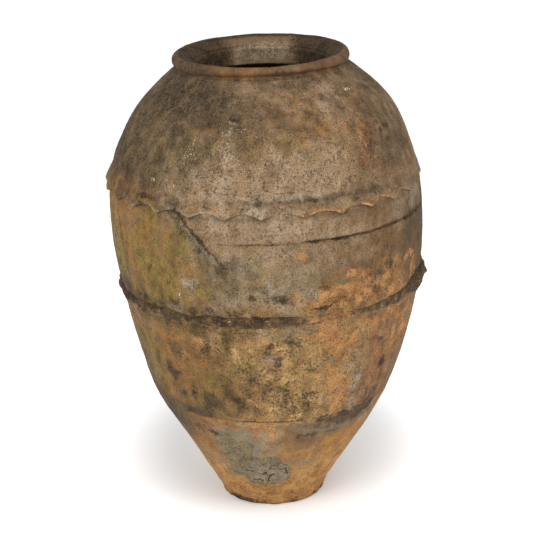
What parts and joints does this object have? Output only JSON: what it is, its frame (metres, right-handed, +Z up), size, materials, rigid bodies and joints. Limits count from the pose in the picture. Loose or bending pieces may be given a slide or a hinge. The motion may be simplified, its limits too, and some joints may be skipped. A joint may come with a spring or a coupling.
{
  "type": "storage jar",
  "caption": "Tall handle-less earthenware storage jar: narrow flat foot, wide belly, rolled rim round an open mouth, thumbed clay band below the shoulder and a plain band at mid height.",
  "frame": {"origin": "on the floor, at the middle of the foot", "axes": "+Z up the jar's axis from foot to mouth; -Y is the side with the mortar patch"},
  "size_m": [0.65, 0.65, 0.95],
  "materials": {
    "foot_clay": "matt, worn bare clay",
    "pale_clay": "matt, speckled with lichen and wash",
    "mossy_clay": "matt, stained olive",
    "dusty_clay": "matt, dusty",
    "sooty_clay": "matt, sooty",
    "rim_clay": "matt, rubbed smooth",
    "stained_clay": "matt, eroded",
    "lime_mortar": "matt, crusty"
  },
  "bodies": {
    "root": {"base_slab": "foot_clay", "foot_wall": "foot_clay", "lower_wall": "pale_clay", "belly_wall": "mossy_clay", "upper_wall": "dusty_clay", "shoulder_wall": "sooty_clay", "rim": "rim_clay", "upper_band": "dusty_clay", "lower_band": "stained_clay", "mortar_patch": "lime_mortar"}
  },
  "joints": []
}
